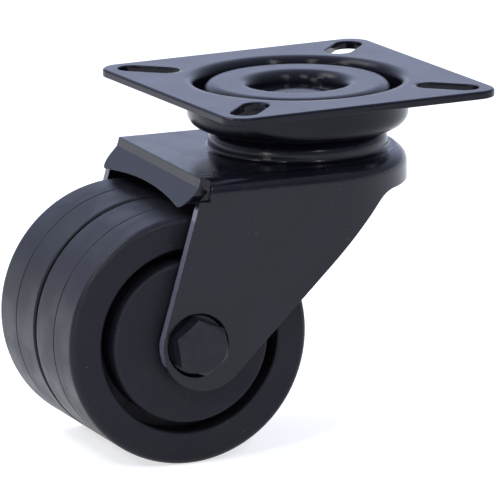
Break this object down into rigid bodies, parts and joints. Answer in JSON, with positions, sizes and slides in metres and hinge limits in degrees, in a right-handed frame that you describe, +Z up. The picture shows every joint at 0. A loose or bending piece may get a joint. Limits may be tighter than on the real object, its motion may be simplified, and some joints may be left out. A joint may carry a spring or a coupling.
{
  "type": "twin wheel swivel caster",
  "caption": "Swivel caster with a square slotted mounting plate, a ball-race head, a raked pressed fork and a pair of wheels side by side on one axle.",
  "frame": {"origin": "where the swivel axis meets the top face of the mounting plate", "axes": "+Z up along the swivel axis, X and Y along the plate's sides; the wheels trail towards -X, with the fork turned 5 degrees clockwise seen from above"},
  "size_m": [0.0879, 0.0632, 0.0713],
  "materials": {
    "black_lacquer": "gloss black lacquer on pressed steel",
    "black_satin": "satin black paint on pressed steel",
    "black_oxide": "blackened steel",
    "wheel_plastic": "matt black moulded plastic",
    "bright_steel": "ground steel",
    "nylon": "natural nylon"
  },
  "bodies": {
    "plate": {"top_plate": "black_lacquer"},
    "upper_ball_row": {"upper_balls": "bright_steel"},
    "lower_ball_row": {"lower_balls": "bright_steel"},
    "fork": {"fork": "black_satin", "race_cap": "black_lacquer", "kingpin": "black_lacquer", "kingpin_spacer": "bright_steel", "kingpin_washer": "black_oxide", "axle_bolt": "black_oxide", "axle_nut": "black_oxide", "nut_insert": "nylon", "near_spacer": "bright_steel", "far_spacer": "bright_steel", "centre_spacer": "bright_steel", "near_inner_ring": "bright_steel", "far_inner_ring": "bright_steel"},
    "near_ball_row": {"near_balls": "bright_steel", "near_cage": "bright_steel"},
    "far_ball_row": {"far_balls": "bright_steel", "far_cage": "bright_steel"},
    "near_wheel": {"near_wheel": "wheel_plastic", "near_outer_ring": "bright_steel", "near_shields": "bright_steel"},
    "far_wheel": {"far_wheel": "wheel_plastic", "far_outer_ring": "bright_steel", "far_shields": "bright_steel"}
  },
  "joints": [
    {"name": "swivel", "type": "hinge", "parent": "plate", "child": "fork", "pos_m": [0, 0, 0], "axis": [0, 0, 1], "continuous": true},
    {"name": "upper_row_orbit", "type": "hinge", "parent": "plate", "child": "upper_ball_row", "pos_m": [0, 0, 0], "axis": [0, 0, 1], "continuous": true},
    {"name": "lower_row_orbit", "type": "hinge", "parent": "plate", "child": "lower_ball_row", "pos_m": [0, 0, 0], "axis": [0, 0, 1], "continuous": true},
    {"name": "near_wheel_spin", "type": "hinge", "parent": "fork", "child": "near_wheel", "pos_m": [-0.03138, 0.00275, -0.0463], "axis": [0.0872, 0.9962, 0], "continuous": true},
    {"name": "far_wheel_spin", "type": "hinge", "parent": "fork", "child": "far_wheel", "pos_m": [-0.03138, 0.00275, -0.0463], "axis": [0.0872, 0.9962, 0], "continuous": true},
    {"name": "near_row_orbit", "type": "hinge", "parent": "fork", "child": "near_ball_row", "pos_m": [-0.03138, 0.00275, -0.0463], "axis": [0.0872, 0.9962, 0], "continuous": true},
    {"name": "far_row_orbit", "type": "hinge", "parent": "fork", "child": "far_ball_row", "pos_m": [-0.03138, 0.00275, -0.0463], "axis": [0.0872, 0.9962, 0], "continuous": true}
  ],
  "couplings": [
    {"joint": "upper_row_orbit", "follows": "swivel", "ratio": 0.5},
    {"joint": "lower_row_orbit", "follows": "swivel", "ratio": 0.5},
    {"joint": "near_row_orbit", "follows": "near_wheel_spin", "ratio": 0.63889},
    {"joint": "far_row_orbit", "follows": "far_wheel_spin", "ratio": 0.63889}
  ]
}
